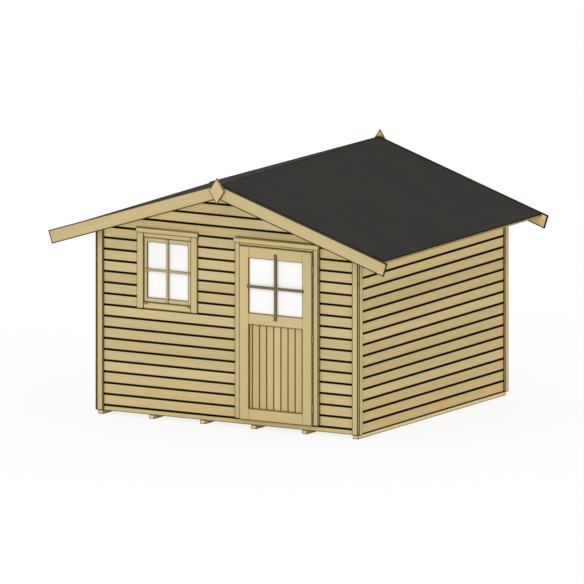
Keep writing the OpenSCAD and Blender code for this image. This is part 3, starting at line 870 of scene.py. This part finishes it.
class HOUSE_OT_joinery_finish(Operator):
    """Finish the door, the window, their frames, casings and caps"""

    bl_idname = "house.joinery_finish"
    bl_label = "Joinery finish"

    def execute(self, context):
        brown = tuple(context.scene.house_finish.crease_shade)
        # The jambs get painted light under the roof's overhang.
        paint(
            JAMBS,
            pine(
                "jamb_pine", "z", edge=1.2, reach=0.012, ink=0.5, painted_light_under_roof=(0.14, 0.36, 1.4)
            ),
        )
        paint(("window_casings",), pine("casing_pine", "z", edge=1.0, reach=0.006, ink=0.3))
        # The level trim gets painted light under the roof's overhang.
        paint(LEVEL_TRIM, pine("level_trim_pine", "x", reach=0.006, painted_light_under_roof=(0.14, 0.36, 1.3)))
        low, high = opening("door_glass")
        paint(
            ("door_leaf_frame", "door_beads"),
            pine("door_frame_pine", "frame", rails=(low.x, high.x), edge=0.78, reach=0.011),
        )
        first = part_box("door_panel")[0].x + DOOR_FIRST_JOINT
        boards = ("X", DOOR_BOARD, first, 0.0075, brown)
        paint(("door_panel",), pine("door_board_pine", "z", boards))
        low, high = opening("window_glass")
        paint(
            ("window_sash", "window_beads"),
            pine(
                "sash_pine", "frame", rails=(low.x, high.x), edge=0.9, reach=0.009,
                fold=0.006,
            ),
        )
        low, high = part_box("window_sash")
        paint(
            ("window_frame",),
            pine(
                "window_frame_pine", "frame",
                rails=(low.x - SASH_PLAY, high.x + SASH_PLAY), crease_shade=0.8, fold=0.006,
            ),
        )
        paint(("door_glass", "window_glass"), satin_pane())
        paint(("hinge_pins", "hinge_knuckles"), hinge_zinc())
        return {"FINISHED"}


class HOUSE_OT_door_bars(Operator):
    """Lay the cross of glazing bars on the door"""

    bl_idname = "house.door_bars"
    bl_label = "Door bars"

    def execute(self, context):
        sizes = context.scene.house_bars
        low, high = opening("door_glass")
        run, side_run = sizes.door_lap, sizes.door_side_lap
        bm = cross_of_bars(
            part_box("door_leaf_frame")[0].y, sizes.door_width, sizes.door_proud,
            (low.x - side_run, high.x + side_run), (low.z - run, high.z + run),
            ((low.x + high.x) / 2, (low.z + high.z) / 2 - sizes.door_drop), "door_glass",
        )
        stain = bar_stain("door_bar_stain", context.scene.house_finish.bar)
        piece("door_glazing_bars", bm, stain, "door")
        return {"FINISHED"}


class HOUSE_OT_window_bars(Operator):
    """Lay the cross of glazing bars on the window"""

    bl_idname = "house.window_bars"
    bl_label = "Window bars"

    def execute(self, context):
        sizes = context.scene.house_bars
        low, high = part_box("window_glass")
        sash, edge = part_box("window_sash"), sizes.window_edge
        bm = cross_of_bars(
            sash[0].y, sizes.window_width, sizes.window_proud,
            (sash[0].x + edge, sash[1].x - edge), (sash[0].z + edge, sash[1].z - edge),
            ((low.x + high.x) / 2, (low.z + high.z) / 2), "window_glass",
        )
        stain = bar_stain("window_bar_stain", context.scene.house_finish.window_bar)
        piece("window_glazing_bars", bm, stain, "house")
        return {"FINISHED"}


class HOUSE_OT_sash_blocks(Operator):
    """Set the small blocks under the sash's lower corners"""

    bl_idname = "house.sash_blocks"
    bl_label = "Sash blocks"

    def execute(self, context):
        sizes = context.scene.house_bars
        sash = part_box("window_sash")
        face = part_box("window_frame")[0].y
        top = sash[0].z - BLOCK_GAP
        bm = bmesh.new()
        for x in (sash[0].x + BLOCK_DEPTH, sash[1].x - BLOCK_GAP - sizes.block_width):
            bar(
                bm, Vector((x, face - BLOCK_DEPTH, top - sizes.block_height)),
                Vector((x + sizes.block_width, face, top)), BLOCK_CHAMFER,
            )
        stain = bar_stain("sash_block_stain", context.scene.house_finish.block)
        piece("window_sash_blocks", bm, stain, "house")
        return {"FINISHED"}


class HOUSE_OT_eave_battens(Operator):
    """Fix a batten under the ends of the roof boards along each eave"""

    bl_idname = "house.eave_battens"
    bl_label = "Eave battens"

    def execute(self, context):
        sizes = context.scene.house_bars
        tilt = roof_tilt()
        deep, wide = sizes.batten_depth, sizes.batten_width
        low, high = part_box("roof_boards_right")
        end = Vector((high.x - sizes.board_depth * math.sin(tilt), 0.0, low.z))
        middle = Vector((-wide / 2, (low.y + high.y) / 2, -deep / 2))
        size = (wide, high.y - low.y - BATTEN_SHORT, deep, 1.0)
        bm = bmesh.new()
        for side in (1, -1):
            turn = Matrix.Rotation(tilt * side, 4, "Y")
            place = Matrix.Translation((end.x * side, 0.0, end.z)) @ turn
            place = place @ Matrix.Translation((middle.x * side, middle.y, middle.z))
            made = bmesh.ops.create_cube(bm, size=1.0, matrix=place @ Matrix.Diagonal(size))
            long = [
                edge
                for edge in edges_at(made["verts"])
                if abs(edge.verts[0].co.y - edge.verts[1].co.y) > 1.0
            ]
            bmesh.ops.bevel(
                bm, geom=long, offset=BATTEN_CHAMFER, affect="EDGES", segments=2,
                profile=0.5, material=-1,
            )
        # The battens' darker tint is painted shade under the eaves.
        piece(
            "eave_battens", bm,
            pine("batten_pine", "y", tint=(0.64, 0.62, 0.55), edge=0.8, reach=0.004),
            "house",
        )
        return {"FINISHED"}


def bar_stain(name: str, colour) -> bpy.types.Material:
    """Stained pine for slender pieces, with painted shade in its creases and painted dark edges.
    """
    made, tree, shader, xyz = new_material(name)
    colour = Vector(colour)
    along = put(tree, "ShaderNodeCombineXYZ", {0: xyz[2], 1: xyz[0], 2: xyz[1]}).outputs[0]
    grain = group(tree, "wood_grain", {"Along": along, "Knots": 0.0})
    mix = calc(
        tree, "ADD", calc(tree, "MULTIPLY", grain.outputs["Streaks"], 0.6),
        calc(tree, "MULTIPLY", grain.outputs["Fibres"], 0.4),
    )
    tone = blend(tree, step(tree, mix, 0.2, 0.8), colour * 1.12, colour * 0.86)
    lines = group(tree, "edge_lines", {"Crease Reach": 0.008, "Edge Reach": 0.004})
    # Painted dark edges, then painted shade in the creases.
    tone = blend(tree, calc(tree, "MULTIPLY", lines.outputs["Edge"], 0.55), tone, colour * 0.3)
    tone = blend(tree, calc(tree, "MULTIPLY", lines.outputs["Crease"], 0.7), tone, colour * 0.18)
    tree.links.new(tone, shader.inputs["Base Color"])
    tree.links.new(
        step(tree, grain.outputs["Fibres"], 0.0, 1.0, 0.5, 0.7), shader.inputs["Roughness"]
    )
    shader.inputs["Specular IOR Level"].default_value = 0.25
    bump = put(
        tree, "ShaderNodeBump",
        {"Height": grain.outputs["Fibres"], "Strength": 0.25, "Distance": 0.0004},
    )
    tree.links.new(bump.outputs[0], shader.inputs["Normal"])
    return made


class HOUSE_OT_stage(Operator):
    """Set the pale floor, the soft light and the camera"""

    bl_idname = "house.stage"
    bl_label = "Stage"

    def execute(self, context):
        scene, sizes = context.scene, context.scene.house_stage
        bm = bmesh.new()
        bmesh.ops.create_grid(
            bm, x_segments=1, y_segments=1, size=FLOOR_SIZE,
            matrix=Matrix.Translation((0, 0, -FLOOR_SINK)),
        )
        data = bpy.data.meshes.new("stage_floor")
        bm.to_mesh(data)
        bm.free()
        made, tree, shader, _ = new_material("stage_white")
        shader.inputs["Base Color"].default_value = (0.97, 0.97, 0.97, 1.0)
        shader.inputs["Roughness"].default_value = 0.9
        shader.inputs["Specular IOR Level"].default_value = 0.0
        glow = put(tree, "ShaderNodeEmission", {"Color": (1, 1, 1, 1), "Strength": 1.0})
        share = calc(tree, "MULTIPLY", seen_directly(tree), FLOOR_GLOW)
        mix = put(
            tree, "ShaderNodeMixShader",
            {0: share, 1: shader.outputs[0], 2: glow.outputs[0]},
        )
        tree.links.new(mix.outputs[0], tree.nodes["Material Output"].inputs["Surface"])
        data.materials.append(made)
        floor = bpy.data.objects.new("stage_floor", data)
        scene.collection.objects.link(floor)

        world = bpy.data.worlds.new("studio_white")
        scene.world = world
        world.use_nodes = True
        tree = world.node_tree
        strength = step(tree, seen_directly(tree), 0.0, 1.0, sizes.sky, 1.0)
        sky = tree.nodes["Background"]
        sky.inputs["Color"].default_value = (1, 1, 1, 1)
        tree.links.new(strength, sky.inputs["Strength"])

        lamp = bpy.data.lights.new("soft_key", "SUN")
        lamp.energy = sizes.key
        lamp.angle = math.radians(KEY_ANGLE)
        key = bpy.data.objects.new("soft_key", lamp)
        key.rotation_euler = (math.radians(KEY_TILT), 0, math.radians(KEY_TURN))
        scene.collection.objects.link(key)

        turn, rise = math.radians(VIEW_TURN), math.radians(VIEW_RISE)
        back = Vector(
            (math.sin(turn) * math.cos(rise), -math.cos(turn) * math.cos(rise), math.sin(rise))
        )
        lens = bpy.data.cameras.new("house_camera")
        lens.type = "ORTHO"
        lens.ortho_scale = sizes.view_width
        lens.clip_start, lens.clip_end = 0.1, 200.0
        camera = bpy.data.objects.new("house_camera", lens)
        camera.location = Vector(VIEW_TARGET) + back * VIEW_DISTANCE
        camera.rotation_euler = (math.radians(90 - VIEW_RISE), 0, turn)
        scene.collection.objects.link(camera)
        scene.camera = camera
        scene.view_settings.view_transform = "Standard"
        return {"FINISHED"}


class HOUSE_PT_panel(Panel):
    """Lists the settings and the steps of the garden house"""

    bl_idname = "HOUSE_PT_panel"
    bl_label = "Garden House"
    bl_space_type = "VIEW_3D"
    bl_region_type = "UI"
    bl_category = "Garden House"

    def draw(self, context):
        layout = self.layout
        for settings in (
            context.scene.house_bars, context.scene.house_finish, context.scene.house_stage,
        ):
            box = layout.box()
            for name in settings.__annotations__:
                box.prop(settings, name)
        for step_class in STEPS:
            layout.operator(step_class.bl_idname)


SETTINGS = (BarSettings, FinishSettings, StageSettings)
STEPS = (
    HOUSE_OT_wall_finish, HOUSE_OT_roof_finish, HOUSE_OT_base_finish, HOUSE_OT_joinery_finish,
    HOUSE_OT_door_bars, HOUSE_OT_window_bars, HOUSE_OT_sash_blocks,
    HOUSE_OT_eave_battens, HOUSE_OT_stage,
)


def register():
    for made in (*SETTINGS, *STEPS, HOUSE_PT_panel):
        bpy.utils.register_class(made)
    bpy.types.Scene.house_bars = PointerProperty(type=BarSettings)
    bpy.types.Scene.house_finish = PointerProperty(type=FinishSettings)
    bpy.types.Scene.house_stage = PointerProperty(type=StageSettings)


def unregister():
    del bpy.types.Scene.house_bars
    del bpy.types.Scene.house_finish
    del bpy.types.Scene.house_stage
    for made in reversed((*SETTINGS, *STEPS, HOUSE_PT_panel)):
        bpy.utils.unregister_class(made)


def main():
    register()
    bpy.ops.house.wall_finish()
    bpy.ops.house.roof_finish()
    bpy.ops.house.base_finish()
    bpy.ops.house.joinery_finish()
    bpy.ops.house.door_bars()
    bpy.ops.house.window_bars()
    bpy.ops.house.sash_blocks()
    bpy.ops.house.eave_battens()
    bpy.ops.house.stage()


if __name__ == "__main__":
    main()
